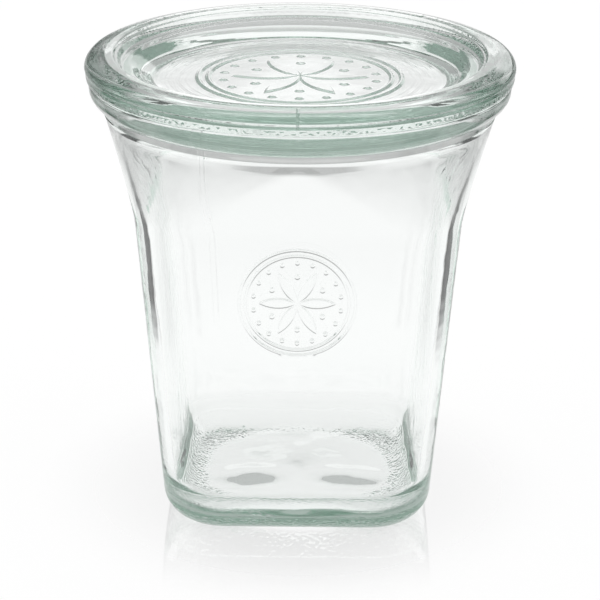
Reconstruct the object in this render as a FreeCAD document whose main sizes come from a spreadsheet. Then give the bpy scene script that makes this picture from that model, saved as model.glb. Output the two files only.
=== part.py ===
"""Glass preserving jar: a square tapered body that flares to a round mouth, and its flat round glass lid.

Millimetres, +Z up. The origin is the centre of the base, at the level that the jar stands on.
The sizes stand in the spreadsheet "Sizes", and every feature is bound to its cells.
"""

import FreeCAD, Part
import Sketcher
import os

from FreeCAD import Vector

# ---------------------------------------------------------------- sizes

SIZES = [
    # the four that drive the jar
    ("rim_height", 113.0, "base to the top of the rim"),
    ("shoulder_half", 40.4, "half width across the flats at the bend"),
    ("neck_radius", 49.75, "outer radius of the round neck"),
    ("wall", 3.0, "wall thickness across the flats"),
    # the jar's outside
    ("flare_rise", 0.2, "the flare's share of the height under the mould line"),
    ("wall_taper", 6.4, "how far each wall draws in from the bend to the base"),
    ("base_corner", 15.4, "upright corner radius at the base"),
    ("shoulder_corner", 15.0, "upright corner radius at the bend"),
    ("heel_radius", 8.0, "rounding between the walls and the base"),
    ("shoulder_blend", 1.3, "how gradually the walls bend there"),
    ("flare_sweep", 0.25, "how much the flare steepens outwards as it rises, as a share"),
    # the rim
    ("rim_depth", 7.6, "top of the rim to the mould line under it"),
    ("mould_step", 0.25, "how far the collar stands out over the mould line"),
    ("collar_height", 1.9, "mould line to the underside of the rim's bead"),
    ("bead_reach", 3.45, "how far the bead stands out from the neck"),
    ("bead_round", 3.1, "rounding under the bead"),
    ("rim_edge", 0.9, "rounding of the rim's top outer edge"),
    ("mouth_inset", 4.15, "outside of the neck to the mouth"),
    ("mouth_step", 0.15, "how far the mouth stands back from the flare's upper end"),
    ("mouth_depth", 10.5, "top of the rim to the flare's upper end inside"),
    ("mouth_edge", 0.8, "bevel of the rim's inner edge"),
    # the jar's inside and underside
    ("floor_thickness", 5.0, "glass under the inside floor, at its edge"),
    ("inner_heel", 9.0, "rounding between the inside walls and the floor"),
    ("push_up_radius", 19.0, "radius of the hollow under the base"),
    ("push_up_depth", 1.4, "depth of that hollow"),
    ("push_up_bend_radius", 11.8, "radius where the hollow turns flatter"),
    ("push_up_bend_depth", 1.0, "depth of the hollow there"),
    # the lid, its radii as distances in from the outside
    ("lid_overhang", 1.05, "how far the lid stands out over the rim"),
    ("lid_edge_height", 6.3, "sealing face to the crest of the top ring"),
    ("lid_draft", 0.55, "how far the edge draws in towards the sealing face"),
    ("lid_mould_line", 3.4, "sealing face to the widest line of the edge"),
    ("lid_edge_shoulder", 4.7, "sealing face to where the edge starts to round over"),
    ("lid_foot_round", 0.7, "rounding of the edge's lower corner"),
    ("lid_crest_outer", 2.95, "outside to where that rounding reaches the crest"),
    ("lid_crest_inner", 7.25, "outside to the crest's inner side"),
    ("lid_ledge_outer", 8.85, "outside to the ledge inside the crest"),
    ("lid_ledge_inner", 11.55, "outside to that ledge's inner side"),
    ("lid_ledge_height", 3.5, "sealing face to the ledge"),
    ("lid_panel_inset", 17.45, "outside to the sunk middle panel"),
    ("lid_panel_drop", 0.5, "how far the panel's top lies under the sealing face"),
    ("lid_panel_thickness", 5.0, "thickness of the middle panel"),
    ("plug_clearance", 0.9, "gap between the lid's plug and the mouth"),
    ("plug_draft", 0.6, "how far the plug narrows towards its foot"),
    ("plug_round", 1.2, "rounding of the plug's foot"),
]

FOLLOWING = [
    ("neck_height", "rim_height - rim_depth", "base to the mould line under the rim"),
    ("shoulder_height", "neck_height * (1 - flare_rise)", "base to the bend that starts the flare"),
    ("base_half", "shoulder_half - wall_taper", "half width across the flats, carried down to the base"),
    ("rim_radius", "neck_radius + bead_reach", "outer radius of the bead"),
    ("mouth_radius", "neck_radius - mouth_inset", "radius of the mouth"),
    ("mouth_height", "rim_height - mouth_depth", "base to the flare's upper end inside"),
    ("lid_radius", "rim_radius + lid_overhang", "outer radius of the lid"),
    ("panel_height", "rim_height - lid_panel_drop", "base to the top of the lid's panel"),
]

NEARLY_ROUND = 0.04  # straight left on each side of a section that is round
NEAR = 1e-3  # closer than this, two lengths are the same
HEEL_STEPS = 7  # sections round a heel, beyond the one at its foot
WALL_SHARES = [0.92, 0.96, 0.985]  # where the walls have sections, as shares of their height
FLARE_SHARES = [0.0, 0.06, 0.14, 0.3, 0.6, 1.0]  # and where the flare has them


def cells(expression):
    """Spell out the sheet's name, for which the expressions here write S."""
    return expression.replace("S.", "Sizes.")


def make_sheet(document):
    """Put every size in the spreadsheet, each with its alias, and the following ones as formulas."""
    sheet = document.addObject("Spreadsheet::Sheet", "Sizes")
    formulas = [(alias, f"={formula}", note) for alias, formula, note in FOLLOWING]
    for row, (alias, size, note) in enumerate(SIZES + formulas, start=1):
        sheet.set(f"A{row}", alias)
        sheet.set(f"B{row}", str(size))
        sheet.setAlias(f"B{row}", alias)
        sheet.set(f"C{row}", note)
    document.recompute()
    return sheet


# ---------------------------------------------------------------- sketch helpers

def plane_of(body, role):
    """One of the body's own origin planes."""
    return next(item for item in body.Origin.OriginFeatures if item.Role == role)


def new_sketch(body, name, role):
    """An empty sketch on an origin plane of the body."""
    sketch = body.newObject("Sketcher::SketchObject", name)
    sketch.AttachmentSupport = (plane_of(body, role), [""])
    sketch.MapMode = "FlatFace"
    return sketch


def size_of(sheet, expression):
    """The number that an expression gives now, to draw a sketch near its final shape."""
    return float(sheet.evalExpression(cells(expression)))


def bind(sketch, constraint, expression):
    """Add a driving constraint and tie it to the sheet."""
    index = sketch.addConstraint(constraint)
    sketch.setExpression(f"Constraints[{index}]", cells(expression))


def rounded_square(sheet, body, name, height, half, corner):
    """A square with round corners, centred on the axis, in the level plane at the height.

    Four lines and four quarter circles, tangent where they meet, with one radius.
    The four sides stand half the width away from the axis.
    """
    sketch = new_sketch(body, name, "XY_Plane")
    sketch.setExpression("AttachmentOffset.Base.z", cells(height))
    side = size_of(sheet, half)
    radius = size_of(sheet, corner)
    reach = side - radius
    up = Vector(0, 0, 1)
    quarter = FreeCAD.Units.Quantity("90 deg").getValueAs("rad").Value
    turns = [(1, 1), (-1, 1), (-1, -1), (1, -1)]
    for number, (across, along) in enumerate(turns):
        circle = Part.Circle(Vector(across * reach, along * reach, 0), up, radius)
        sketch.addGeometry(Part.ArcOfCircle(circle, number * quarter, (number + 1) * quarter))
    for number, (across, along) in enumerate(turns):
        ahead_x, ahead_y = turns[(number + 1) % 4]
        if across != ahead_x:
            start = Vector(across * reach, along * side, 0)
            end = Vector(ahead_x * reach, ahead_y * side, 0)
        else:
            start = Vector(across * side, along * reach, 0)
            end = Vector(ahead_x * side, ahead_y * reach, 0)
        sketch.addGeometry(Part.LineSegment(start, end))
    for number in range(4):
        line = 4 + number
        ahead = (number + 1) % 4
        sketch.addConstraint(Sketcher.Constraint("Tangent", number, 2, line, 1))
        sketch.addConstraint(Sketcher.Constraint("Tangent", line, 2, ahead, 1))
        level = "Horizontal" if number % 2 == 0 else "Vertical"
        sketch.addConstraint(Sketcher.Constraint(level, line))
    for number in range(1, 4):
        sketch.addConstraint(Sketcher.Constraint("Equal", 0, number))
    bind(sketch, Sketcher.Constraint("Radius", 0, radius), corner)
    for line in (4, 5, 6, 7):
        bind(sketch, Sketcher.Constraint("Distance", -1, 1, line, side), half)
    return sketch


def turned_profile(sheet, body, name, points):
    """A closed outline of straight runs in the upright plane, one (radius, height) pair a corner."""
    sketch = new_sketch(body, name, "XZ_Plane")
    places = [Vector(size_of(sheet, radius), size_of(sheet, height), 0) for radius, height in points]
    for start, end in zip(places, places[1:] + places[:1]):
        sketch.addGeometry(Part.LineSegment(start, end))
    count = len(points)
    for number, (radius, height) in enumerate(points):
        before = (number - 1) % count
        sketch.addConstraint(Sketcher.Constraint("Coincident", before, 2, number, 1))
        if radius == "0":
            sketch.addConstraint(Sketcher.Constraint("PointOnObject", number, 1, -2))
        else:
            bind(sketch, Sketcher.Constraint("DistanceX", -1, 1, number, 1, places[number].x), radius)
        if height == "0":
            sketch.addConstraint(Sketcher.Constraint("PointOnObject", number, 1, -1))
        else:
            bind(sketch, Sketcher.Constraint("DistanceY", -1, 1, number, 1, places[number].y), height)
    return sketch


def turn(body, kind, name, sketch):
    """Revolve a profile all the way round the axis, as a Revolution or a Groove."""
    feature = body.newObject(f"PartDesign::{kind}", name)
    feature.Profile = sketch
    feature.ReferenceAxis = (sketch, ["V_Axis"])
    feature.Angle = 360.0
    return feature


def ramp(height):
    """Nothing well under the bend, and the distance above it well over it, with a smooth turn."""
    over = f"({height} - S.shoulder_height)"
    return f"(({over} + sqrt({over} ^ 2 + S.shoulder_blend ^ 2)) / 2)"


def along(height, low, high):
    """The straight line from low at the base to high at the bend, carried on past both."""
    return f"({low} + ({high} - {low}) * ({height}) / S.shoulder_height)"


def section_at(height, inset, end_height, end_radius):
    """Half width and upright corner radius of the walls at a height.

    The walls stand inset from the outside. They run straight up to the bend, then the half
    width and the corner radius both grow with the ramp, until the section is round, with the
    end's radius, at the end's height. The sweep holds that growth back at first and makes up
    for it towards the end, so that the flare is slightly hollow.
    """
    share = f"({ramp(height)} / {ramp(end_height)})"
    grown = f"({share} * (1 - S.flare_sweep * (1 - {share})))"
    straight_half = along(height, "S.base_half", "S.shoulder_half")
    straight_corner = along(height, "S.base_corner", "S.shoulder_corner")
    end_half = along(end_height, "S.base_half", "S.shoulder_half")
    end_corner = along(end_height, "S.base_corner", "S.shoulder_corner")
    half = f"({straight_half} - {inset} + ({end_radius} - {end_half} + {inset}) * {grown})"
    corner = (
        f"({straight_corner} - {inset}"
        f" + ({end_radius} - {NEARLY_ROUND} - {end_corner} + {inset}) * {grown})"
    )
    return half, corner


def hull(sheet, body, kind, name, foot, heel, inset, end_height, end_radius):
    """Loft the jar's form from a foot level up to a round end, with its heel rounded.

    The heel's sections follow a quarter circle: at each angle it has risen by the radius times
    one less the cosine, and still stands in by the radius times one less the sine.
    """
    rows = []
    for step in range(HEEL_STEPS + 1):
        angle = f"{90 * step / HEEL_STEPS} deg"
        height = f"({foot} + {heel} * (1 - cos({angle})))"
        half, corner = section_at(height, inset, end_height, end_radius)
        drawn_in = f" - {heel} * (1 - sin({angle}))"
        rows.append((height, half + drawn_in, corner + drawn_in))
    wall_foot = rows[-1][0]
    for share in WALL_SHARES:
        height = f"({wall_foot} + (S.shoulder_height - {wall_foot}) * {share})"
        rows.append((height, *section_at(height, inset, end_height, end_radius)))
    for share in FLARE_SHARES:
        height = f"(S.shoulder_height + ({end_height} - S.shoulder_height) * {share})"
        rows.append((height, *section_at(height, inset, end_height, end_radius)))
    sections = [
        rounded_square(sheet, body, f"{name}Section{number}", *row)
        for number, row in enumerate(rows, start=1)
    ]
    feature = body.newObject(f"PartDesign::{kind}", name)
    feature.Profile = sections[0]
    feature.Sections = sections[1:]
    feature.Ruled = True
    return feature


def round_edges(document, body, name, radius, chosen):
    """Fillet the edges of the body's last feature that the test picks out."""
    document.recompute()
    last = body.Tip
    names = [f"Edge{number}" for number, edge in enumerate(last.Shape.Edges, start=1) if chosen(edge)]
    feature = body.newObject("PartDesign::Fillet", name)
    feature.Base = (last, names)
    feature.setExpression("Radius", cells(radius))
    document.recompute()
    return feature


def lies_level(edge, height):
    """Whether the whole edge lies in the level plane at the height."""
    box = edge.BoundBox
    return abs(box.ZMin - height) < NEAR and abs(box.ZMax - height) < NEAR


def reach_of(edge):
    """How far the edge's middle stands from the axis."""
    middle = edge.valueAt((edge.FirstParameter + edge.LastParameter) / 2)
    return (middle.x ** 2 + middle.y ** 2) ** 0.5


# ---------------------------------------------------------------- the jar

def make_jar(document, sheet):
    """Square to round outside, turned rim, hollow inside, hollow under the base."""
    body = document.addObject("PartDesign::Body", "Jar")
    body.Label = "jar"

    hull(
        sheet, body, "AdditiveLoft", "Outside",
        foot="0", heel="S.heel_radius", inset="0",
        end_height="S.neck_height", end_radius="S.neck_radius",
    )

    # The rim: a plain disc with a collar, the bead and a flat top.
    collar = "S.neck_radius + S.mould_step"
    bead = "S.neck_height + S.collar_height"
    rim = turned_profile(sheet, body, "RimOutline", [
        ("0", "S.neck_height"),
        (collar, "S.neck_height"),
        (collar, bead),
        ("S.rim_radius", bead),
        ("S.rim_radius", "S.rim_height"),
        ("0", "S.rim_height"),
    ])
    turn(body, "Revolution", "Rim", rim)
    bead_level = size_of(sheet, bead)
    rim_level = size_of(sheet, "S.rim_height")
    rim_reach = size_of(sheet, "S.rim_radius")
    round_edges(
        document, body, "BeadUnderside", "S.bead_round",
        lambda edge: lies_level(edge, bead_level) and abs(reach_of(edge) - rim_reach) < NEAR,
    )
    round_edges(document, body, "RimEdge", "S.rim_edge", lambda edge: lies_level(edge, rim_level))

    # The cavity keeps the wall's thickness up to the bend, then flares to the mouth.
    hull(
        sheet, body, "SubtractiveLoft", "Inside",
        foot="S.floor_thickness", heel="S.inner_heel", inset="S.wall",
        end_height="S.mouth_height", end_radius="(S.mouth_radius - S.mouth_step)",
    )
    mouth = turned_profile(sheet, body, "MouthOutline", [
        ("0", "S.mouth_height"),
        ("S.mouth_radius", "S.mouth_height"),
        ("S.mouth_radius", "S.rim_height - S.mouth_edge"),
        ("S.mouth_radius + S.mouth_edge", "S.rim_height"),
        ("0", "S.rim_height"),
    ])
    turn(body, "Groove", "Mouth", mouth)

    # A shallow hollow under the base, inside the flat that the jar stands on.
    hollow = turned_profile(sheet, body, "PushUpOutline", [
        ("0", "0"),
        ("S.push_up_radius", "0"),
        ("S.push_up_bend_radius", "S.push_up_bend_depth"),
        ("0", "S.push_up_depth"),
    ])
    turn(body, "Groove", "PushUp", hollow)
    return body


# ---------------------------------------------------------------- the lid

def make_lid(document, sheet):
    """A turned disc: sealing face on the rim, raised ring with a ledge, sunk panel and plug."""
    body = document.addObject("PartDesign::Body", "Lid")
    body.Label = "lid"
    seal = "S.rim_height"
    panel_under = "S.panel_height - S.lid_panel_thickness"
    plug = "S.mouth_radius - S.plug_clearance"
    outline = turned_profile(sheet, body, "LidOutline", [
        ("0", panel_under),
        (f"{plug} - S.plug_draft", panel_under),
        (plug, seal),
        ("S.lid_radius - S.lid_draft", seal),
        ("S.lid_radius", f"{seal} + S.lid_mould_line"),
        ("S.lid_radius", f"{seal} + S.lid_edge_shoulder"),
        ("S.lid_radius - S.lid_crest_outer", f"{seal} + S.lid_edge_height"),
        ("S.lid_radius - S.lid_crest_inner", f"{seal} + S.lid_edge_height"),
        ("S.lid_radius - S.lid_ledge_outer", f"{seal} + S.lid_ledge_height"),
        ("S.lid_radius - S.lid_ledge_inner", f"{seal} + S.lid_ledge_height"),
        ("S.lid_radius - S.lid_panel_inset", "S.panel_height"),
        ("0", "S.panel_height"),
    ])
    turn(body, "Revolution", "LidDisc", outline)
    seal_level = size_of(sheet, seal)
    foot_reach = size_of(sheet, "S.lid_radius - S.lid_draft")
    plug_level = size_of(sheet, panel_under)
    round_edges(
        document, body, "LidFoot", "S.lid_foot_round",
        lambda edge: lies_level(edge, seal_level) and abs(reach_of(edge) - foot_reach) < NEAR,
    )
    round_edges(document, body, "PlugFoot", "S.plug_round", lambda edge: lies_level(edge, plug_level))
    return body


# ---------------------------------------------------------------- build, test and write

def check(document, parts):
    """Stop if a feature failed, or a part isn't one sound solid."""
    for item in document.Objects:
        if "Invalid" in item.State or "Error" in item.State:
            raise RuntimeError(f"{item.Name} failed: {item.State}")
    for part in parts:
        shape = part.Shape
        if shape.isNull() or not shape.isValid() or len(shape.Solids) != 1:
            raise RuntimeError(f"{part.Label} isn't one sound solid")
        box = shape.BoundBox
        print(
            f"{part.Label}: {box.XLength:.2f} x {box.YLength:.2f} x {box.ZLength:.2f} mm,"
            f" z {box.ZMin:.2f} to {box.ZMax:.2f}, {shape.Volume / 1000:.1f} cm3, {len(shape.Faces)} faces"
        )


def main():
    document = FreeCAD.newDocument("GlassJar")
    sheet = make_sheet(document)
    parts = [make_jar(document, sheet), make_lid(document, sheet)]
    document.recompute()
    check(document, parts)
    os.makedirs("parts", exist_ok=True)
    for part in parts:
        part.Shape.exportStep(f"parts/{part.Label}.step")


main()
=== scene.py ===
# %% [markdown]
# # A glass preserving jar
# A square glass body that flares to a round mouth, and a flat round glass lid lying on its rim.
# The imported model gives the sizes. Here both pieces are made again with finer surfaces, because
# glass shows every facet of its shape twice: where light comes in and where it goes out.

# %% Load the frame and keep its box
from math import atan2, cos, pi, radians, sin

import bpy
import numpy as np
from mathutils import Matrix, Vector


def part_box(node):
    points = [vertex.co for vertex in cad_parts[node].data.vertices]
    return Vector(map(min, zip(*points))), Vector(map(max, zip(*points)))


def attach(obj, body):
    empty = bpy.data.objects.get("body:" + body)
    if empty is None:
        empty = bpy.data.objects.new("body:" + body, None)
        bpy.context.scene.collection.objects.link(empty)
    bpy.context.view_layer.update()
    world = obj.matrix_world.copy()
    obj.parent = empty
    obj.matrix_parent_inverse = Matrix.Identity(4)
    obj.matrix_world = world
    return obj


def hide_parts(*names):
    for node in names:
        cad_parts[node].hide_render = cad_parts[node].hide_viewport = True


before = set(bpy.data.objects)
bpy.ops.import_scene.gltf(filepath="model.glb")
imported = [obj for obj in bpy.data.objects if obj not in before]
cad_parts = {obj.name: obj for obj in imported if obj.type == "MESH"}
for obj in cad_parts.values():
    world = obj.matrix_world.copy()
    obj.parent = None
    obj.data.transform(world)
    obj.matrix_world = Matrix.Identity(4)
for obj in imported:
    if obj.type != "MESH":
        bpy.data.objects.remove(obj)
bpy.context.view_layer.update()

MM = 0.001
TURN = 2 * pi

# %% [markdown]
# ## Sizes
# Heights and radii are in millimetres, the units in which such a jar is drawn. The jar's and the
# lid's boxes in the frame give the main ones, and the rest are distances from those.

# %% Sizes of the jar
jar_high = np.array(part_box("jar")[1]) / MM
RIM_HEIGHT = jar_high[2]                # top of the rim
RIM_RADIUS = jar_high[0]                # outer radius of the rim's bead
NECK_RADIUS = RIM_RADIUS - 3.45
MOUTH_RADIUS = NECK_RADIUS - 4.15
NECK_HEIGHT = RIM_HEIGHT - 7.6          # the mould line under the rim
MOUTH_HEIGHT = RIM_HEIGHT - 10.5        # upper end of the flare inside
SHOULDER_HEIGHT = 0.8 * NECK_HEIGHT     # the bend where the walls start to flare
SHOULDER_HALF = 40.4                    # half width across the flats at the bend
BASE_HALF = SHOULDER_HALF - 6.4         # and carried down to the base
SHOULDER_CORNER = 15.0                  # upright corner radius at the bend
BASE_CORNER = 15.4                      # and at the base
SHOULDER_BLEND = 1.3                    # how gradually the walls bend
FLARE_SWEEP = 0.25                      # how much the flare steepens as it rises
HEEL_RADIUS = 8.0                       # rounding between the walls and the base
INNER_HEEL = 9.0                        # and between the walls and the floor inside
WALL = 3.0
FLOOR_THICKNESS = 5.0
PUSH_UP_RADIUS = 19.0                   # the hollow under the base
PUSH_UP_DEPTH = 0.7                     # half the solid's, whose hollow has straight sides
print(f"jar {RIM_HEIGHT:.1f} high, rim {2 * RIM_RADIUS:.1f} across, mouth {2 * MOUTH_RADIUS:.1f}")

# %% Sizes of the lid
lid_high = np.array(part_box("lid")[1]) / MM
LID_RADIUS = lid_high[0]
LID_TOP = lid_high[2]
PANEL_HEIGHT = RIM_HEIGHT - 0.5         # top of the sunk panel
LID_FOOT = PANEL_HEIGHT - 5.0           # underside of the plug
SEAT_GAP = 0.12                         # air between the rim and the lid, where they don't touch
print(f"lid {2 * LID_RADIUS:.1f} across, {LID_TOP - LID_FOOT:.1f} from its plug's foot to its crest")

# %% [markdown]
# ## A square with round corners that turns into a circle
# Every level cut through the jar is a square with round corners. At the base the corners are
# small, at the neck they have swallowed the sides and the cut is a circle. The jar could be lofted
# through a few such outlines, but a formula for the cut at any height gives as many rings as the
# glass needs. If each column of the mesh keeps its direction from the axis all the way up, the
# columns never cross or bunch up.

# %% How far a level cut reaches in a direction
def reach(angle, half, corner):
    """Distance from the axis to a rounded square's outline, for arrays that broadcast.

    With a = |cos|, b = |sin| of the angle and k = half - corner, a side is met at
    half / max(a, b) where the other coordinate there is at most k. Past it the corner's circle
    is met at k (a + b) + sqrt(corner^2 - k^2 (a - b)^2).
    """
    a, b = np.abs(np.cos(angle)), np.abs(np.sin(angle))
    k = half - corner
    side = half / np.maximum(a, b)
    round_part = k * (a + b) + np.sqrt(np.maximum(corner**2 - (k * (a - b)) ** 2, 0))
    return np.where(side * np.minimum(a, b) <= k, side, round_part)

print(f"base: {reach(0, BASE_HALF, BASE_CORNER):.1f} to a side, "
      f"{reach(TURN / 8, BASE_HALF, BASE_CORNER):.1f} to a corner")

# %% The walls at any height
def wall_section(height, inset, end_height, end_radius):
    """Half width and corner radius of the walls at each height, as two arrays.

    The walls stand inset from the outside. ramp(h) = (d + sqrt(d^2 + blend^2)) / 2, with d the
    height over the bend, is almost nothing below the bend and d above it. The share
    s = ramp / ramp(end), held back as s (1 - sweep (1 - s)), carries both sizes to the round end.
    """
    def ramp(level):
        over = level - SHOULDER_HEIGHT
        return (over + np.sqrt(over**2 + SHOULDER_BLEND**2)) / 2

    def straight(level, low, high):
        return low + (high - low) * level / SHOULDER_HEIGHT - inset

    share = ramp(height) / ramp(end_height)
    grown = share * (1 - FLARE_SWEEP * (1 - share))
    half = straight(height, BASE_HALF, SHOULDER_HALF)
    corner = straight(height, BASE_CORNER, SHOULDER_CORNER)
    half = half + (end_radius - straight(end_height, BASE_HALF, SHOULDER_HALF)) * grown
    corner = corner + (end_radius - straight(end_height, BASE_CORNER, SHOULDER_CORNER)) * grown
    return half, corner


def outer_section(height):
    """The outside's half width and corner radius at each height."""
    return wall_section(height, 0.0, NECK_HEIGHT, NECK_RADIUS)


def inner_section(height):
    """The inside's half width and corner radius at each height."""
    return wall_section(height, WALL, MOUTH_HEIGHT, MOUTH_RADIUS)

print(f"outside at the bend: {outer_section(np.array([SHOULDER_HEIGHT]))[0][0]:.2f} from the axis")

# %% [markdown]
# ## Profiles
# A turned edge is drawn as a list of corners, each with its own rounding. A helper puts a short
# quarter-round of points in each corner, so that light rolls over the edge instead of snapping.
# A Bevel modifier could round the edges too, but here each corner's rounding is stated.

# %% Round the corners of a profile
def rounded_profile(corners, steps=5):
    """Points along straight runs joined by curves, from (radius, height, rounding) rows.

    At a corner B between A and C the curve starts and ends at the rounding's distance from B and
    is the quadratic (1 - t)^2 P + 2 t (1 - t) B + t^2 Q. A rounding of 0 keeps the corner.
    """
    points = [np.array(corners[0][:2], float)]
    for before, here, after in zip(corners, corners[1:], corners[2:]):
        a, b, c = (np.array(row[:2], float) for row in (before, here, after))
        if here[2] == 0:
            points.append(b)
            continue
        start = b + (a - b) / np.linalg.norm(a - b) * here[2]
        end = b + (c - b) / np.linalg.norm(c - b) * here[2]
        for t in np.linspace(0, 1, steps):
            points.append((1 - t) ** 2 * start + 2 * t * (1 - t) * b + t**2 * end)
    points.append(np.array(corners[-1][:2], float))
    return np.array(points)


def spread(profile, longest):
    """The same profile with points added on its runs, so that no run is longer than the limit."""
    rows = [profile[:1]]
    for a, b in zip(profile, profile[1:]):
        count = max(1, int(np.ceil(np.linalg.norm(b - a) / longest)))
        shares = np.arange(1, count + 1)[:, None] / count
        rows.append(a + (b - a) * shares)
    return np.concatenate(rows)

print("a rounded right angle:", rounded_profile([(0, 0, 0), (4, 0, 2), (4, 4, 0)]).round(2).tolist())

# %% [markdown]
# ## Raised ornament
# Pressed glass carries ornament as low relief, cut into the mould. The jar's front and the
# middle of the lid have a round medallion: a double ring, rows of dots and a rosette of six
# petals, the figure that a pair of compasses draws by stepping round a circle. It could be bump in
# the material, but real slopes show at the glass's edges too. Flat tops with steep edges suit
# glass: each edge bends the light into a thin dark line, and the rest stays clear.

# %% Heights and dots
def plateau(inside, edge):
    """Height from 0 to 1 by the depth inside an outline: t^2 (3 - 2 t), t rising across the edge."""
    t = np.clip(inside / edge + 0.5, 0, 1)
    return t**2 * (3 - 2 * t)


def dots_inside(x, y, radius, count, size):
    """Depth inside round dots evenly spaced on a circle, the first half a step from the x axis.

    The angle is folded to the nearest dot, and the distance to it is measured along the arc.
    """
    step = TURN / count
    from_dot = np.arctan2(y, x) % step - step / 2
    return size - np.hypot(np.hypot(x, y) - radius, radius * from_dot)

print("heights across an edge 1 mm wide:", plateau(np.array([-0.5, -0.25, 0, 0.25, 0.5]), 1).tolist())

# %% The medallion as a height field
RING_GAP = 5.5                          # between the two rings, in half line widths
PETAL_SHARE = 0.66                      # radius of the compass circles, as a share of the ring's
DOT_ROWS = [(0.76, 18, 1.8), (0.5, 6, 2.2)]    # share of the radius, number, size in half lines


def medallion(x, y, radius, line, edge):
    """Height from 0 to 1 of the ornament at points of a plane, the centre at (0, 0).

    A double ring, rows of dots, and six petals: the overlaps of circles about the corners of a
    hexagon, each circle with the next but one.
    """
    far = np.hypot(x, y)
    inside = line - np.abs(far - radius)
    inside = np.maximum(inside, line - np.abs(far - radius + RING_GAP * line))
    petal = PETAL_SHARE * radius
    corners = [TURN * number / 6 for number in range(6)]
    depths = [petal - np.hypot(x - petal * cos(turn), y - petal * sin(turn)) for turn in corners]
    for depth, next_but_one in zip(depths, depths[2:] + depths[:2]):
        inside = np.maximum(inside, np.minimum(depth, next_but_one))
    for share, count, size in DOT_ROWS:
        inside = np.maximum(inside, dots_inside(x, y, share * radius, count, size * line))
    return plateau(inside, edge)

sample = medallion(*np.meshgrid(np.linspace(-15, 15, 301), np.linspace(-15, 15, 301)), 14, 0.3, 0.4)
print(f"share of the square about a medallion that is raised: {sample.mean():.2f}")

# %% [markdown]
# ## One closed skin for the jar
# The skin is a stack of rings: out along the underside, round the heel, up the wall, over the rim,
# down the inside and in along the floor. Only the patch under the medallion needs a fine mesh, so
# its cells are divided, and the cells next to it take up the extra points on their shared edges.
# Subdividing the whole jar would do it too, at many times the triangles.

# %% From arrays to a mesh
def put_mesh(name, points, polygon_groups):
    """Make a mesh object in metres from millimetre points and arrays of polygons."""
    mesh = bpy.data.meshes.new(name)
    corners = np.concatenate([group.ravel() for group in polygon_groups]).astype(np.int32)
    sizes = np.concatenate([np.full(len(group), group.shape[1]) for group in polygon_groups])
    starts = np.concatenate([[0], np.cumsum(sizes)[:-1]]).astype(np.int32)
    mesh.vertices.add(len(points))
    mesh.vertices.foreach_set("co", (points * MM).astype(np.float32).ravel())
    mesh.loops.add(len(corners))
    mesh.loops.foreach_set("vertex_index", corners)
    mesh.polygons.add(len(sizes))
    mesh.polygons.foreach_set("loop_start", starts)
    mesh.update(calc_edges=True)
    mesh.shade_smooth()
    if mesh.validate(verbose=False):
        print(name, "had faults that were mended")
    piece = bpy.data.objects.new(name, mesh)
    bpy.context.scene.collection.objects.link(piece)
    print(f"{name}: {len(points)} points, {int((sizes - 2).sum())} triangles")
    return piece

# %% Cells between rings, and fans at the poles
def ring_cells(numbers):
    """Corners of the cells between rows of rings whose columns close round, (rows, columns, 4)."""
    right = np.roll(numbers, -1, axis=1)
    return np.stack([numbers[:-1], right[:-1], right[1:], numbers[1:]], axis=-1)


def pole_fans(numbers, first_pole, last_pole):
    """Triangles from the first and the last ring to the two middle points."""
    first, last = numbers[0], numbers[-1]
    low = np.stack([np.full(len(first), first_pole), np.roll(first, -1), first], axis=-1)
    high = np.stack([last, np.roll(last, -1), np.full(len(last), last_pole)], axis=-1)
    return [low, high]

print("cells of two rings of three points:", ring_cells(np.arange(6).reshape(2, 3)).tolist())

# %% Divide a window of cells
def divided_window(numbers, cells, rows, columns, parts, next_number):
    """Divide a block of cells into parts x parts, and stitch its border to the cells around.

    Returns the fine block's vertex numbers, a mask of its new vertices, and all the polygons:
    the untouched cells, the fine cells and the border cells with parts - 1 more corners.
    """
    r0, r1 = rows
    c0, c1 = columns
    fine = np.zeros(((r1 - r0) * parts + 1, (c1 - c0) * parts + 1), int)
    new = np.ones(fine.shape, bool)
    new[::parts, ::parts] = False
    fine[::parts, ::parts] = numbers[r0:r1 + 1, c0:c1 + 1]
    fine[new] = next_number + np.arange(new.sum())
    keep = np.ones(cells.shape[:2], bool)
    keep[r0 - 1:r1 + 1, c0:c1] = False
    keep[r0:r1, c0 - 1:c1 + 1] = False
    inner = np.stack([fine[:-1, :-1], fine[:-1, 1:], fine[1:, 1:], fine[1:, :-1]], axis=-1)
    across = np.arange(c1 - c0)[:, None] * parts + np.arange(parts + 1)
    up = np.arange(r1 - r0)[:, None] * parts + np.arange(parts + 1)
    below = np.column_stack([numbers[r0 - 1, c0:c1], numbers[r0 - 1, c0 + 1:c1 + 1],
                             fine[0, across][:, ::-1]])
    above = np.column_stack([fine[-1, across], numbers[r1 + 1, c0 + 1:c1 + 1],
                             numbers[r1 + 1, c0:c1]])
    left = np.column_stack([numbers[r0:r1, c0 - 1], fine[up, 0], numbers[r0 + 1:r1 + 1, c0 - 1]])
    right = np.column_stack([numbers[r0:r1, c1 + 1], numbers[r0 + 1:r1 + 1, c1 + 1],
                             fine[up, -1][:, ::-1]])
    return fine, new, [cells[keep], inner.reshape(-1, 4), below, above, left, right]

# %% [markdown]
# ### The jar's rings
# A ring is a row of three numbers: height, half width and corner radius. The straight walls carry
# most of the rings evenly. The heels follow a quarter circle, the bend has rings close together,
# and the rim is a turned profile with rounded corners.

# %% Rows of rings
def heel_rows(foot, heel, section, count):
    """Rings round a heel: at angle t it has risen heel (1 - cos t) and stands in heel (1 - sin t)."""
    t = np.linspace(0, pi / 2, count)
    height = foot + heel * (1 - np.cos(t))
    half, corner = section(height)
    inward = heel * (1 - np.sin(t))
    return np.column_stack([height, half - inward, corner - inward])


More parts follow.
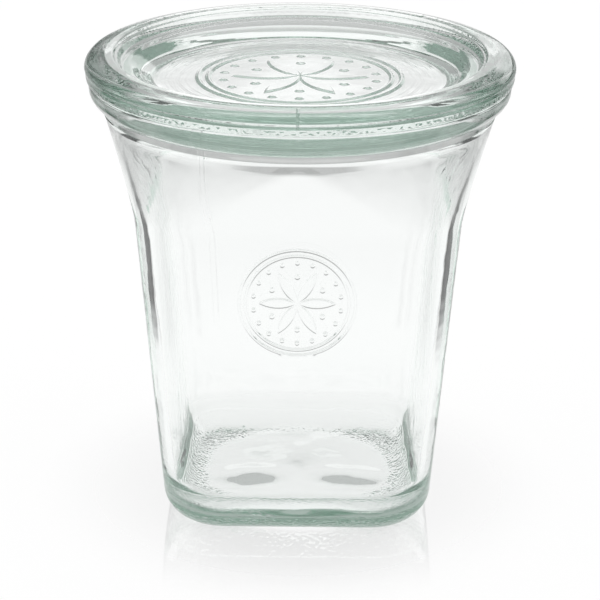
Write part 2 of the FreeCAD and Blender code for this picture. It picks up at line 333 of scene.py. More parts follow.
def wall_rows(section, low, high, longest):
    """Rings up a wall between two heights, at an even pitch no longer than the limit."""
    count = int(np.ceil((high - low) / longest)) + 1
    height = np.linspace(low, high, count)
    return np.column_stack([height, *section(height)])


def round_rows(profile):
    """Rings of a turned profile of (radius, height) points."""
    return np.column_stack([profile[:, 1], profile[:, 0], profile[:, 0]])


COLUMNS = 288                           # points in a ring
COARSE, FINE, CLOSE = 2.4, 1.1, 0.4     # pitch of plain walls, of shaped ones and of the bend
HEEL_RINGS = 14
BEND_LOW, BEND_HIGH = SHOULDER_HEIGHT - 2.4, SHOULDER_HEIGHT + 3.0
print(f"a heel in {HEEL_RINGS} rings, the bend from {BEND_LOW:.1f} to {BEND_HIGH:.1f}")

# %% The outside's rings
MEDALLION_CENTRE = 66.4                 # height of its middle
MEDALLION_RADIUS = 14.2
FINE_FROM = MEDALLION_CENTRE - MEDALLION_RADIUS - 3

push_up_radii = np.linspace(0.08, 1, 10)
push_up = np.column_stack([PUSH_UP_RADIUS * push_up_radii,
                           PUSH_UP_DEPTH * (1 - push_up_radii**2) ** 2])
outer_heel = heel_rows(0.0, HEEL_RADIUS, outer_section, HEEL_RINGS)
stand_shares = np.linspace(0, 1, 7)[1:-1, None]
hollow_edge = np.array([0, PUSH_UP_RADIUS, PUSH_UP_RADIUS])
under_rows = hollow_edge * (1 - stand_shares) + outer_heel[0] * stand_shares
outer_wall = np.concatenate([wall_rows(outer_section, HEEL_RADIUS, FINE_FROM, COARSE),
                             wall_rows(outer_section, FINE_FROM, BEND_LOW, FINE)[1:]])
outer_bend = wall_rows(outer_section, BEND_LOW, BEND_HIGH, CLOSE)
outer_flare = wall_rows(outer_section, BEND_HIGH, NECK_HEIGHT - 0.1, FINE)
print(f"outside: {len(outer_wall)} rings up the wall, {len(outer_flare)} up the flare")

# %% The rim's profile
rim_profile = spread(rounded_profile([
    (NECK_RADIUS - 0.1, NECK_HEIGHT - 0.1, 0),
    (NECK_RADIUS - 0.1, NECK_HEIGHT, 0.06),
    (NECK_RADIUS + 0.05, NECK_HEIGHT + 0.12, 0.12),
    (NECK_RADIUS + 0.4, NECK_HEIGHT + 1.9, 0.45),
    (RIM_RADIUS - 2.2, NECK_HEIGHT + 2.1, 0.4),
    (RIM_RADIUS, NECK_HEIGHT + 3.9, 1.8),
    (RIM_RADIUS, RIM_HEIGHT - SEAT_GAP, 1.0),
    (MOUTH_RADIUS + 0.8, RIM_HEIGHT - SEAT_GAP, 0.7),
    (MOUTH_RADIUS, RIM_HEIGHT - 1.1, 0.6),
    (MOUTH_RADIUS, MOUTH_HEIGHT + 0.1, 0),
]), FINE)
print(f"rim: {len(rim_profile)} rings")

# %% The inside's rings, and the whole stack
inner_flare = wall_rows(inner_section, BEND_HIGH, MOUTH_HEIGHT, FINE)[::-1]
inner_bend = wall_rows(inner_section, BEND_LOW, BEND_HIGH, CLOSE)[::-1]
inner_wall = wall_rows(inner_section, FLOOR_THICKNESS + INNER_HEEL, BEND_LOW, COARSE)[::-1]
inner_heel = heel_rows(FLOOR_THICKNESS, INNER_HEEL, inner_section, HEEL_RINGS)[::-1]
floor_shares = np.linspace(1, 0.04, 24)[1:, None]
floor_edge = inner_heel[-1]
floor_rows = floor_edge * [1, 0, 0] + [0, 1, 1] * floor_edge * floor_shares
floor_rows[:, 2] += (floor_rows[:, 1] - floor_rows[:, 2]) * (1 - floor_shares[:, 0])

jar_rows = np.concatenate([
    round_rows(push_up), under_rows, outer_heel, outer_wall[1:], outer_bend[1:], outer_flare[1:],
    round_rows(rim_profile), inner_flare, inner_bend[1:], inner_wall[1:], inner_heel[1:], floor_rows,
])
print(f"jar: {len(jar_rows)} rings of {COLUMNS} points")

# %% [markdown]
# ### An uneven floor
# The plunger that presses the hollow leaves the thick floor uneven, and the slopes show as grey
# patches, because from them the eye sees the dark sides through the base and not the white below.
# A few smooth lumps and slow waves, added to the heights of the floor's points, do that.

# %% Lumps and waves
FLOOR_WAVES = [
    # height, then for x and for y the length of a radian and the angle at 0
    (0.22, 5.3, 0.9, 4.6, 0.4),
    (0.132, 2.9, 2.0, 3.4, 0.0),
]
FLOOR_LUMPS = [
    # x, y, half length, half width, height
    (0, 0, 26, 26, 0.5),
    (-12.5, -6.5, 16, 8, 1.1),
    (13.5, -6.5, 14, 8, 1.15),
]


def uneven_floor(points):
    """Raise the inside of the floor in low lumps, and make it uneven.

    An oval lump is (1 - s)^2 of its rise high, s = (x / a)^2 + (y / b)^2; two products of sines
    add long waves. Both fade out with the height over the floor, so that the walls stay plain.
    """
    x, y, z = points[..., 0], points[..., 1], points[..., 2]
    rise = 0
    for height, x_length, x_start, y_length, y_start in FLOOR_WAVES:
        rise = rise + height * np.sin(x / x_length + x_start) * np.sin(y / y_length + y_start)
    for across, back, long, short, height in FLOOR_LUMPS:
        share = np.maximum(1 - ((x - across) / long) ** 2 - ((y - back) / short) ** 2, 0)
        rise = rise + height * share**2
    near = np.clip(1 - (z - FLOOR_THICKNESS) / INNER_HEEL, 0, 1) ** 2
    return np.stack([x, y, z + rise * near], axis=-1)

floor_middle = uneven_floor(np.array([[0, 0, FLOOR_THICKNESS]]))
print(f"the floor's middle is at {floor_middle[0, 2]:.2f}")

# %% [markdown]
# ### The jar's points
# Every ring has a point in each direction. The relief moves the front wall's points straight out,
# toward the front, and the window of divided cells gives it enough of them.

# %% Points of the skin
RELIEF = 0.45                           # height of the raised figures
RELIEF_LINE = 0.28                      # half the width of the rings
RELIEF_EDGE = 0.36                      # width of the slope at their edges


def jar_points(height, half, corner, angle):
    """Points of the jar's skin: the level cut's reach in each direction, at each height."""
    distance = reach(angle, half, corner)
    return np.stack([distance * np.cos(angle), distance * np.sin(angle), height + 0 * angle], -1)


def front_relief(points):
    """Push the points of the front wall out by the medallion's relief."""
    x, y, z = points[..., 0], points[..., 1], points[..., 2]
    out = RELIEF * medallion(x, z - MEDALLION_CENTRE, MEDALLION_RADIUS, RELIEF_LINE, RELIEF_EDGE)
    return np.stack([x, y - out, z], axis=-1)


angles = (np.arange(COLUMNS) + 0.5) / COLUMNS * TURN
numbers = np.arange(len(jar_rows) * COLUMNS).reshape(-1, COLUMNS)
grid = jar_points(jar_rows[:, :1], jar_rows[:, 1:2], jar_rows[:, 2:3], angles[None, :])
cells = ring_cells(numbers)
print(f"jar: {grid.shape[0] * grid.shape[1]} points before the window is divided")

# %% The window under the medallion
WINDOW_PARTS = 5                        # each cell there becomes this many, squared
WINDOW_OVER = 0.7                       # how far it reaches past the medallion, above and below
WINDOW_BESIDE = 0.9                     # and at the sides
WALL_LEAN = 1.5                         # the wall comes in by less than this in the window's foot

wall_first = len(push_up) + len(under_rows) + len(outer_heel) - 1
wall_heights = outer_wall[:, 0]
window_reach = MEDALLION_RADIUS + WINDOW_OVER
window_low = int(np.searchsorted(wall_heights, MEDALLION_CENTRE - window_reach))
window_high = int(np.searchsorted(wall_heights, MEDALLION_CENTRE + window_reach))
rows = (wall_first + window_low, wall_first + window_high)
front_reach = outer_section(np.array([MEDALLION_CENTRE]))[0][0]
half_angle = atan2(MEDALLION_RADIUS + WINDOW_BESIDE, front_reach - WALL_LEAN)
front = 1.5 * pi
columns = (int(np.searchsorted(angles, front - half_angle)),
           int(np.searchsorted(angles, front + half_angle)))
fine, new, polygons = divided_window(numbers, cells, rows, columns, WINDOW_PARTS, numbers.size)
print(f"window: {rows[1] - rows[0]} x {columns[1] - columns[0]} cells, {new.sum()} new points")

# %% Build the jar
fine_heights = np.interp(np.arange(fine.shape[0]) / WINDOW_PARTS,
                         np.arange(rows[1] - rows[0] + 1), wall_heights[window_low:window_high + 1])
fine_angles = np.interp(np.arange(fine.shape[1]) / WINDOW_PARTS,
                        np.arange(columns[1] - columns[0] + 1), angles[columns[0]:columns[1] + 1])
fine_half, fine_corner = outer_section(fine_heights)
fine_points = jar_points(fine_heights[:, None], fine_half[:, None], fine_corner[:, None],
                         fine_angles[None, :])
window = slice(rows[0], rows[1] + 1), slice(columns[0], columns[1] + 1)
grid[window] = front_relief(grid[window])
inner_low = len(grid) - len(floor_rows) - len(inner_heel)
grid[inner_low:] = uneven_floor(grid[inner_low:])
points = np.concatenate([
    grid.reshape(-1, 3),
    front_relief(fine_points)[new],
    [[0, 0, PUSH_UP_DEPTH]],
    floor_middle,
])
polygons += pole_fans(numbers, len(points) - 2, len(points) - 1)
jar = put_mesh("jar_glass", points, polygons)
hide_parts("jar")
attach(jar, "root")

# %% [markdown]
# ## The lid
# The lid is turned: one profile carried round the axis. From the middle of its top it runs out
# over the sunk panel, up a slope to a ledge, up again to the crest, round the edge, and back
# along the sealing face and down round the plug that keeps it centred in the mouth. A Screw
# modifier could carry it round, but the medallion needs rings and columns of a known pitch.

# %% The lid's profile
PANEL_EDGE = 27.5                       # where the even rings of the panel end
lid_edge = spread(rounded_profile([
    (PANEL_EDGE, PANEL_HEIGHT, 0),
    (LID_RADIUS - 17.45, PANEL_HEIGHT, 1.2),
    (LID_RADIUS - 11.7, PANEL_HEIGHT + 3.7, 0.6),
    (LID_RADIUS - 9.2, PANEL_HEIGHT + 4.05, 0.5),
    (LID_RADIUS - 8.2, LID_TOP - 0.9, 0.3),
    (LID_RADIUS - 7.7, LID_TOP - 0.9, 0.2),
    (LID_RADIUS - 7.2, LID_TOP - 0.2, 0.25),
    (LID_RADIUS - 5.0, LID_TOP, 0.8),
    (LID_RADIUS - 1.5, LID_TOP - 0.75, 0.7),
    (LID_RADIUS - 0.4, LID_TOP - 1.9, 0.6),
    (LID_RADIUS, LID_TOP - 3.1, 0.5),
    (LID_RADIUS - 0.2, RIM_HEIGHT + 2.9, 0.2),
    (LID_RADIUS - 0.35, RIM_HEIGHT + 0.9, 0.3),
    (LID_RADIUS - 0.55, RIM_HEIGHT + 0.02, 0.7),
    (MOUTH_RADIUS - 0.9, RIM_HEIGHT + 0.02, 0.5),
    (MOUTH_RADIUS - 1.5, LID_FOOT, 1.2),
    (2.0, LID_FOOT, 0),
]), COARSE)
panel_radii = np.linspace(0.6, PANEL_EDGE - 0.5, 92)
panel = np.column_stack([panel_radii, np.full(len(panel_radii), PANEL_HEIGHT)])
lid_rows = np.concatenate([panel, lid_edge])[::-1]
print(f"lid: {len(lid_edge)} rings round the edge and {len(panel)} on the panel")

# %% Build the lid
LID_COLUMNS = 480
LID_MEDALLION = 25.6                    # radius of the medallion's outer ring
LID_RELIEF = 0.3                        # its height
LID_LINE = 0.45                         # half the width of its rings
LID_EDGE = 0.55                         # width of the slope at their edges

lid_angles = np.arange(LID_COLUMNS) / LID_COLUMNS * TURN
lid_x = lid_rows[:, :1] * np.cos(lid_angles)
lid_y = lid_rows[:, :1] * np.sin(lid_angles)
lid_z = np.repeat(lid_rows[:, 1:], LID_COLUMNS, axis=1)
on_panel = slice(len(lid_edge), None)
ornament = medallion(lid_x[on_panel], lid_y[on_panel], LID_MEDALLION, LID_LINE, LID_EDGE)
lid_z[on_panel] += LID_RELIEF * ornament
lid_numbers = np.arange(lid_z.size).reshape(lid_z.shape)
lid_points = np.concatenate([
    np.stack([lid_x, lid_y, lid_z], axis=-1).reshape(-1, 3),
    [[0, 0, LID_FOOT], [0, 0, PANEL_HEIGHT]],
])
lid_polygons = [ring_cells(lid_numbers).reshape(-1, 4)]
lid_polygons += pole_fans(lid_numbers, len(lid_points) - 2, len(lid_points) - 1)
lid = put_mesh("lid_glass", lid_points, lid_polygons)
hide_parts("lid")
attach(lid, "root")

# %% [markdown]
# ## Building node trees
# A material is a tree of nodes. In a script each node takes three or four lines, so a few helpers
# do it in one: each adds a node, feeds it sockets or plain numbers, and gives back its output.

# %% Helpers for single nodes
def feed(tree, socket, value):
    """Link a socket's value to an input, or set the input to a plain number or vector."""
    if isinstance(value, bpy.types.NodeSocket):
        tree.links.new(value, socket)
    else:
        socket.default_value = value


def math_node(tree, operation, *values, clamp=False):
    """A Math node's result; clamp holds it between 0 and 1."""
    node = tree.nodes.new("ShaderNodeMath")
    node.operation = operation
    node.use_clamp = clamp
    for socket, value in zip(node.inputs, values):
        feed(tree, socket, value)
    return node.outputs["Value"]


def vector_node(tree, operation, *values):
    """A Vector Math node's result: a number for a length or a dot product, else a vector."""
    node = tree.nodes.new("ShaderNodeVectorMath")
    node.operation = operation
    for socket, value in zip(node.inputs, values):
        feed(tree, socket, value)
    return node.outputs["Value" if operation in ("LENGTH", "DOT_PRODUCT") else "Vector"]


def separate(tree, place):
    """The three numbers of a vector, by name."""
    node = tree.nodes.new("ShaderNodeSeparateXYZ")
    tree.links.new(place, node.inputs["Vector"])
    return node.outputs


def ramp_node(tree, value, start, end, low=0.0, high=1.0, kind="SMOOTHSTEP"):
    """A Map Range node: low up to the start, high from the end on, and a ramp between."""
    node = tree.nodes.new("ShaderNodeMapRange")
    node.interpolation_type = kind
    feed(tree, node.inputs["Value"], value)
    for name, number in (("From Min", start), ("From Max", end), ("To Min", low), ("To Max", high)):
        node.inputs[name].default_value = number
    return node.outputs["Result"]


def place_in(tree, kind):
    """A texture coordinate: Object on the pieces and the floor, Generated in the world."""
    return tree.nodes.new("ShaderNodeTexCoord").outputs[kind]

# %% Helpers for shaders
def glow(tree, level):
    """A plain light of one level, from 0 for black to 1 for white."""
    node = tree.nodes.new("ShaderNodeEmission")
    node.inputs["Strength"].default_value = level
    return node.outputs["Emission"]


def mixed(tree, share, first, second):
    """A Mix Shader node: the first shader where the share is 0, the second where it is 1."""
    node = tree.nodes.new("ShaderNodeMixShader")
    for socket, value in zip(node.inputs, (share, first, second)):
        feed(tree, socket, value)
    return node.outputs["Shader"]


def mixed_numbers(tree, share, first, second):
    """A Mix node on numbers: the first where the share is 0, the second where it is 1."""
    node = tree.nodes.new("ShaderNodeMix")
    for name, value in (("Factor", share), ("A", first), ("B", second)):
        feed(tree, node.inputs[name], value)
    return node.outputs["Result"]


def new_material(name):
    """An empty node material, and its node tree."""
    material = bpy.data.materials.new(name)
    material.use_nodes = True
    material.node_tree.nodes.clear()
    return material, material.node_tree


def new_group(name, sockets_in, sockets_out):
    """An empty node group with its inputs and outputs; gives the tree and both sides' sockets."""
    tree = bpy.data.node_groups.new(name, "ShaderNodeTree")
    for side, sockets in (("INPUT", sockets_in), ("OUTPUT", sockets_out)):
        for socket, kind in sockets.items():
            tree.interface.new_socket(socket, in_out=side, socket_type=f"NodeSocket{kind}")
    entry = tree.nodes.new("NodeGroupInput")
    leave = tree.nodes.new("NodeGroupOutput")
    return tree, entry.outputs, leave.inputs

print("helpers for node trees are ready")

# %% [markdown]
# ## What the mould leaves on the glass
# Pressed glass is never quite flat. It has a faint ripple all over, where it touched the iron, a
# fine grain where the mould is knurled so that the hot jar stands without checking, a thin ridge
# where the mould's halves met, and on the lid the lines of the turned tool. All of these are far
# finer than the mesh, so they are heights for a Bump node. Both glasses use them, each with its
# own values, so they are node groups.

# %% Ripple
def ripple_group():
    """The faint unevenness of glass that has touched a mould: noise, as a height from 0 to 1."""
    tree, entry, leave = new_group("PressedRipple", {"Size": "Float"}, {"Height": "Float"})
    noise = tree.nodes.new("ShaderNodeTexNoise")
    noise.inputs["Detail"].default_value = 2.0
    tree.links.new(place_in(tree, "Object"), noise.inputs["Vector"])
    tree.links.new(entry["Size"], noise.inputs["Scale"])
    tree.links.new(noise.outputs["Fac"], leave["Height"])
    return tree


RIPPLE = ripple_group()
print("group:", RIPPLE.name)

# %% Grain, seam and turned lines
GRAIN_SCALE = 1100.0                    # lumps of grain in a metre
GRAIN_FADE = 0.4 * MM                   # the grain starts and ends over this height
GRAIN_RAMP = 3 * MM                     # and comes up over this much of the radius
SEAM_HALF = 0.35 * MM                   # half width of the seam's ridge
SEAM_SLOPE = 0.3 * MM                   # width of the ridge's sides
SEAM_AHEAD = 0.5 * MM                   # it comes in over this, past the inner radius
SEAM_RISE = 4 * MM                      # and over this much height
TURNED_SCALE = 900.0                    # turned lines in a metre of the radius
TURNED_FROM = 27.5 * MM                 # they start outside this radius
TURNED_RAMP = 2 * MM


def above(tree, value, level, width):
    """A mask that rises from 0 at the level to 1 a width over it: (value - level) / width."""
    return math_node(tree, "DIVIDE", math_node(tree, "SUBTRACT", value, level), width, clamp=True)


def marks_group():
    """Marks of the mould, as heights from 0 to 1.

    Grain is fine noise in a band of heights, outside a radius. Seam is a narrow ridge in one
    direction from the axis: the distance from the plane through both is |p . (d x z)|. Turned is
    noise of the radius alone.
    """
    names_in = {name: "Float" for name in ("Low", "High", "Inner", "Seam Low")}
    names_out = {name: "Float" for name in ("Grain", "Seam", "Turned")}
    tree, entry, leave = new_group("MouldMarks", names_in | {"Direction": "Vector"}, names_out)
    place = place_in(tree, "Object")
    height = separate(tree, place)["Z"]
    radius = vector_node(tree, "LENGTH", vector_node(tree, "MULTIPLY", place, (1, 1, 0)))

    grain = tree.nodes.new("ShaderNodeTexNoise")
    grain.inputs["Scale"].default_value = GRAIN_SCALE
    grain.inputs["Detail"].default_value = 0.0
    tree.links.new(place, grain.inputs["Vector"])
    over = above(tree, height, entry["Low"], GRAIN_FADE)
    under = above(tree, entry["High"], height, GRAIN_FADE)
    band = math_node(tree, "MULTIPLY", over, under)
    band = math_node(tree, "MULTIPLY", band, above(tree, radius, entry["Inner"], GRAIN_RAMP))
    tree.links.new(math_node(tree, "MULTIPLY", grain.outputs["Fac"], band), leave["Grain"])

    across = vector_node(tree, "CROSS_PRODUCT", entry["Direction"], (0, 0, 1))
    off = math_node(tree, "ABSOLUTE", vector_node(tree, "DOT_PRODUCT", place, across))
    ahead = vector_node(tree, "DOT_PRODUCT", place, entry["Direction"])
    ridge = math_node(tree, "MULTIPLY", above(tree, SEAM_HALF, off, SEAM_SLOPE),
                      above(tree, ahead, entry["Inner"], SEAM_AHEAD))
    seam = math_node(tree, "MULTIPLY", ridge, above(tree, height, entry["Seam Low"], SEAM_RISE))
    tree.links.new(seam, leave["Seam"])

    lines = tree.nodes.new("ShaderNodeTexNoise")
    lines.noise_dimensions = "1D"
    lines.inputs["Scale"].default_value = TURNED_SCALE
    lines.inputs["Detail"].default_value = 1.0
    tree.links.new(radius, lines.inputs["W"])
    outside = above(tree, radius, TURNED_FROM, TURNED_RAMP)
    tree.links.new(math_node(tree, "MULTIPLY", lines.outputs["Fac"], outside), leave["Turned"])
    return tree


MARKS = marks_group()
print("group:", MARKS.name, "with", len(MARKS.nodes), "nodes")

# %% [markdown]
# ## Clear glass with a green cast
# The surface only bends and reflects light. The green comes from inside: iron in the melt takes
# red first, so thin walls look clear and a long way through the rim looks green. A tinted surface
# would colour thin and thick glass alike, so the tint is the volume's absorption, in light lost
# per metre.

# %% The glass materials
GLASS_IOR = 1.52
GLASS_TINT = (0.80, 0.893, 0.848, 1)
GLASS_DENSITY = 30.0                    # per metre


def mark_heights(tree, ripple_scale, band, inner, seam_low, seam_turn, heights):
    """The ripple and the marks, each times its height in metres, added up.

    The grain lies in a band of heights outside the inner radius. The seam starts at a height and
    lies in a direction given in degrees from the front.
    """
    ripple, marks = [tree.nodes.new("ShaderNodeGroup") for _ in range(2)]
    ripple.node_tree = RIPPLE
    marks.node_tree = MARKS
    turn = radians(seam_turn)
    ripple.inputs["Size"].default_value = ripple_scale
    marks.inputs["Low"].default_value = band[0] * MM
    marks.inputs["High"].default_value = band[1] * MM
    marks.inputs["Inner"].default_value = inner * MM
    marks.inputs["Seam Low"].default_value = seam_low * MM
    marks.inputs["Direction"].default_value = (sin(turn), -cos(turn), 0)
    total = 0.0
    for value, height in zip([ripple.outputs["Height"], *marks.outputs], heights):
        total = math_node(tree, "MULTIPLY_ADD", value, height, total)
    return total


def glass(name, **marks):
    """Clear glass: a smooth refracting surface with marks of the mould, and a green absorption."""
    material, tree = new_material(name)
    output = tree.nodes.new("ShaderNodeOutputMaterial")
    bump = tree.nodes.new("ShaderNodeBump")
    bump.inputs["Strength"].default_value = 1.0
    bump.inputs["Distance"].default_value = 1.0
    tree.links.new(mark_heights(tree, **marks), bump.inputs["Height"])
    shader = tree.nodes.new("ShaderNodeBsdfPrincipled")
    shader.inputs["Base Color"].default_value = (1, 1, 1, 1)
    shader.inputs["Roughness"].default_value = 0.0
    shader.inputs["IOR"].default_value = GLASS_IOR
    shader.inputs["Transmission Weight"].default_value = 1.0
    tree.links.new(bump.outputs["Normal"], shader.inputs["Normal"])
    tint = tree.nodes.new("ShaderNodeVolumeAbsorption")
    tint.inputs["Color"].default_value = GLASS_TINT
    tint.inputs["Density"].default_value = GLASS_DENSITY
    tree.links.new(shader.outputs["BSDF"], output.inputs["Surface"])
    tree.links.new(tint.outputs["Volume"], output.inputs["Volume"])
    return material

# %% Glass for the jar and the lid
jar.data.materials.append(glass(
    "clear_jar_glass", ripple_scale=90.0,
    band=(-1.0, 5.6), inner=24.6, seam_low=SHOULDER_HEIGHT - 25, seam_turn=-28.0,
    heights=(0.00012, 0.0003, 0.00008, 0.0),
))
lid.data.materials.append(glass(
    "clear_lid_glass", ripple_scale=70.0,
    band=(RIM_HEIGHT - 0.5, RIM_HEIGHT + 1.9), inner=LID_RADIUS - 4.0,
    seam_low=RIM_HEIGHT - 5, seam_turn=0.0,
    heights=(0.00008, 0.00018, 0.0003, 0.000035),
))
print("glass:", jar.data.materials[0].name, "and", lid.data.materials[0].name)

# %% [markdown]
# ## Floor, light and camera
# Glass on white is lit from behind and below: a white floor fills it with light, and darker
# sides draw its edges. The eye should see plain white all round, but glass needs something dark to
# bend into its edges. A Light Path node tells the two apart: rays that have gone through glass see
# a white sheet that ends some way off, two dark cards standing on it, and a shade toward the
# front. Real studios use the same sheet and cards, only with the cards just out of view.

# %% Levels of the floor
FLOOR_WHITE = 0.94                      # share of plain white in the floor, for rays that look at it
FLOOR_PAINT = 0.9                       # the rest is paint of this white, which keeps the shadow
FLOOR_HALF = 6.0                        # metres
FLOOR_DROP = 0.00005                    # metres under the jar, so that the faces don't coincide
POLISH = 0.38                           # share of the mirror image at the jar
POLISH_FROM, POLISH_TO = 30.0, 72.0     # it fades out between these distances from the axis
POLISH_IN, POLISH_EDGE = 27.0, 33.0     # and comes in between these, under the foot
MIRROR_BLUR = 0.05
CARD_LEVEL = 0.08                       # the two dark cards' grey
CARD_BEARING, CARD_HALF = 66.0, 10.0    # degrees from straight behind or in front, and half width
CARD_SOFT = 3.0                         # degrees
CARDS_FROM, CARDS_TO = 100.0, 150.0     # they start between these distances from the axis
SHEET_FROM, SHEET_TO = 200.0, 600.0     # the white sheet ends between these
FRONT_FROM, FRONT_TO = -100.0, -260.0   # the front shade comes in between these, toward the camera
FRONT_LEVEL = 0.7
ROOM_LOW, ROOM_HIGH = 0.53, 0.72        # the room seen through glass, at the horizon and overhead
ROOM_TO = 0.9                           # the sine of the elevation where it has got that bright
print(f"cards from {CARD_BEARING - CARD_HALF:.0f} to {CARD_BEARING + CARD_HALF:.0f} degrees")

# %% The floor seen directly, and the floor seen through glass
def painted_floor(tree, far, path):
    """White paint, plain white for rays that look at it, and a mirror image round the jar."""
    paint = tree.nodes.new("ShaderNodeBsdfDiffuse")
    paint.inputs["Color"].default_value = (FLOOR_PAINT, FLOOR_PAINT, FLOOR_PAINT, 1)
    mirror = tree.nodes.new("ShaderNodeBsdfGlossy")
    mirror.inputs["Color"].default_value = (1, 1, 1, 1)
    mirror.inputs["Roughness"].default_value = MIRROR_BLUR
    looks = math_node(tree, "MAXIMUM", path["Is Camera Ray"], path["Is Glossy Ray"])
    looks = math_node(tree, "MAXIMUM", looks, path["Is Transmission Ray"])
    whiteness = math_node(tree, "MULTIPLY", looks, FLOOR_WHITE)
    whitened = mixed(tree, whiteness, paint.outputs["BSDF"], glow(tree, 1.0))
    ring = math_node(tree, "MULTIPLY",
                     ramp_node(tree, far, POLISH_FROM * MM, POLISH_TO * MM, POLISH, 0.0),
                     ramp_node(tree, far, POLISH_IN * MM, POLISH_EDGE * MM))
    return mixed(tree, ring, whitened, mirror.outputs["BSDF"])


def card_mask(tree, place, far):
    """1 where the dark cards stand: near one bearing, folded to a quarter, past a distance."""
    side, back = [math_node(tree, "ABSOLUTE", separate(tree, place)[axis]) for axis in "XY"]
    bearing = math_node(tree, "ARCTAN2", side, back)
    off = math_node(tree, "SUBTRACT", bearing, radians(CARD_BEARING))
    wedge = ramp_node(tree, math_node(tree, "ABSOLUTE", off),
                      radians(CARD_HALF + CARD_SOFT), radians(CARD_HALF - CARD_SOFT))
    return math_node(tree, "MULTIPLY", wedge, ramp_node(tree, far, CARDS_FROM * MM, CARDS_TO * MM))


def floor_shader(tree):
    """The painted floor, then over it, for rays through glass only, cards, sheet end and shade."""
    place = place_in(tree, "Object")
    far = vector_node(tree, "LENGTH", place)
    path = tree.nodes.new("ShaderNodeLightPath").outputs
    through = math_node(tree, "MAXIMUM", path["Is Transmission Ray"], path["Is Singular Ray"])
    toward = ramp_node(tree, separate(tree, place)["Y"], FRONT_FROM * MM, FRONT_TO * MM)
    shader = painted_floor(tree, far, path)
    for mask, level in ((card_mask(tree, place, far), CARD_LEVEL),
                        (ramp_node(tree, far, SHEET_FROM * MM, SHEET_TO * MM), ROOM_LOW),
                        (toward, FRONT_LEVEL)):
        shader = mixed(tree, math_node(tree, "MULTIPLY", through, mask), shader, glow(tree, level))
    return shader

# %% Lay the floor
def make_floor():
    """A wide square just under the jar."""
    mesh = bpy.data.meshes.new("floor")
    square = [(-1, -1), (1, -1), (1, 1), (-1, 1)]
    mesh.from_pydata([(x * FLOOR_HALF, y * FLOOR_HALF, 0) for x, y in square], [], [(0, 1, 2, 3)])
    material, tree = new_material("white_floor")
    output = tree.nodes.new("ShaderNodeOutputMaterial")
    tree.links.new(floor_shader(tree), output.inputs["Surface"])
    mesh.materials.append(material)
    floor = bpy.data.objects.new("floor", mesh)
    bpy.context.scene.collection.objects.link(floor)
    floor.location = (0, 0, -FLOOR_DROP)
    return floor


floor = make_floor()
print("floor:", len(floor.data.materials[0].node_tree.nodes), "nodes")

# %% [markdown]
# ### The room
# The world is white for the camera. For the light on the jar and for what it mirrors, it is a dim
# room with bright panels in it, like soft boxes. Area lights could stand there, but behind clear
# glass they are found only by chance and leave bright specks. A mask on the world's directions is
# met wherever a ray leaves.

# %% Panels in the world
BACKDROP_LOW, BACKDROP_HIGH = 0.28, 0.22    # level of the room low down and high up
BACKDROP_FROM, BACKDROP_TO = 0.12, 0.45     # sines of the elevations between which it changes
PANELS = [
    # azimuth (0 behind, + right), elevation, half width, half height, softness, level
    (21, 12, 0.488, 0.14, 0.03, 2.1),
    (0, 44, 0.25, 0.14, 0.04, 3.6),
    (115, 30, 0.35, 0.6, 0.03, 2.0),
    (-115, 30, 0.35, 0.6, 0.03, 2.0),
    (0, 80, 0.75, 0.6, 0.05, 2.6),
]


def panel_mask(tree, azimuth, elevation, half_width, half_height, softness):
    """A mask of 1 inside a flat panel that faces the jar from far away.

    With c the direction to the panel's middle and r, u its right and up, a direction d meets the
    panel's plane at (d.r / d.c, d.u / d.c); both must lie within the half sizes.
    """
    a, e = radians(azimuth), radians(elevation)
    c = Vector((sin(a) * cos(e), cos(a) * cos(e), sin(e)))
    r = Vector((cos(a), -sin(a), 0))
    u = r.cross(c)
    direction = place_in(tree, "Generated")
    depth = vector_node(tree, "DOT_PRODUCT", direction, c)
    mask = math_node(tree, "GREATER_THAN", depth, 0.001)
    for axis, half in ((r, half_width), (u, half_height)):
        along = vector_node(tree, "DOT_PRODUCT", direction, axis)
        off = math_node(tree, "ABSOLUTE", math_node(tree, "DIVIDE", along, depth))
        mask = math_node(tree, "MULTIPLY", mask,
                         ramp_node(tree, off, half + softness, half - softness))
    return mask

# %% World
def world_level(tree):
    """How bright each direction is: room and panels, the plainer room through glass, or white."""
    rise = separate(tree, place_in(tree, "Generated"))["Z"]
    path = tree.nodes.new("ShaderNodeLightPath").outputs
    level = ramp_node(tree, rise, BACKDROP_FROM, BACKDROP_TO, BACKDROP_LOW, BACKDROP_HIGH)
    for *place_and_size, strength in PANELS:
        level = mixed_numbers(tree, panel_mask(tree, *place_and_size), level, strength)
    room = ramp_node(tree, rise, 0.0, ROOM_TO, ROOM_LOW, ROOM_HIGH, kind="LINEAR")
    level = mixed_numbers(tree, path["Is Transmission Ray"], level, room)
    blurred = math_node(tree, "SUBTRACT", path["Is Glossy Ray"], path["Is Singular Ray"], clamp=True)
    plain = math_node(tree, "MAXIMUM", path["Is Camera Ray"], blurred)
    return mixed_numbers(tree, plain, level, 1.0)


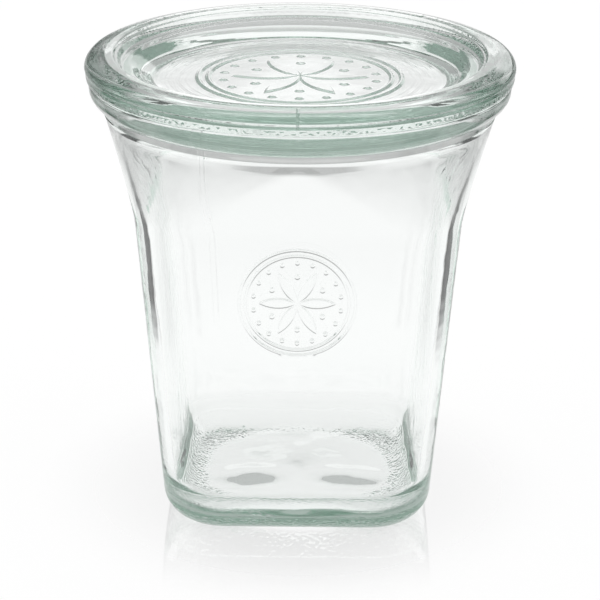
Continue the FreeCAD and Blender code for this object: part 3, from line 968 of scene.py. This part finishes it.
def make_world():
    """Light from the world alone, with no map of where it is brightest."""
    world = bpy.data.worlds.new("studio")
    bpy.context.scene.world = world
    world.use_nodes = True
    world.cycles.sampling_method = "NONE"
    tree = world.node_tree
    tree.nodes.clear()
    output = tree.nodes.new("ShaderNodeOutputWorld")
    background = tree.nodes.new("ShaderNodeBackground")
    tree.links.new(world_level(tree), background.inputs["Strength"])
    tree.links.new(background.outputs["Background"], output.inputs["Surface"])
    return world


print("world:", len(make_world().node_tree.nodes), "nodes")

# %% [markdown]
# ### The camera
# A long lens keeps the jar's upright sides nearly parallel. The camera's matrix is made from three
# directions, right, up and back, with a slight roll, and then turned about the jar's axis.

# %% Camera
CAMERA_RISE, CAMERA_TURN, CAMERA_ROLL = radians(21.31), radians(0.49), radians(0.40)
CAMERA_DISTANCE = 0.6
CAMERA_TARGET = Vector((0.00034, 0, 0.05207))
LENS, SENSOR = 137.56, 36.0             # millimetres


def make_camera():
    """A long lens in front, looking down on the lid at about 21 degrees."""
    back = Vector((0, -cos(CAMERA_RISE), sin(CAMERA_RISE)))
    right, up = Vector((1, 0, 0)), Vector((0, sin(CAMERA_RISE), cos(CAMERA_RISE)))
    rolled_right = right * cos(CAMERA_ROLL) + up * sin(CAMERA_ROLL)
    rolled_up = up * cos(CAMERA_ROLL) - right * sin(CAMERA_ROLL)
    matrix = Matrix((rolled_right, rolled_up, back)).transposed().to_4x4()
    matrix.translation = CAMERA_TARGET + back * CAMERA_DISTANCE
    data = bpy.data.cameras.new("camera")
    data.lens = LENS
    data.sensor_width = SENSOR
    data.clip_start, data.clip_end = 0.01, 50.0
    camera = bpy.data.objects.new("camera", data)
    camera.matrix_world = Matrix.Rotation(CAMERA_TURN, 4, "Z") @ matrix
    bpy.context.scene.collection.objects.link(camera)
    bpy.context.scene.camera = camera
    return camera


print("camera at", [round(side / MM) for side in make_camera().matrix_world.translation], "mm")

# %% [markdown]
# ## View and bounces
# Standard keeps white as white. A ray that crosses two walls, the lid and the thick foot is bent
# and thrown back many times, and each time that it runs out of bounces it leaves a black spot, so
# glass needs far more bounces than paint.

# %% Scene settings
scene = bpy.context.scene
scene.view_settings.view_transform = "Standard"
scene.cycles.max_bounces = 40
scene.cycles.transmission_bounces = 40
scene.cycles.glossy_bounces = 24
print("bounces:", scene.cycles.max_bounces)
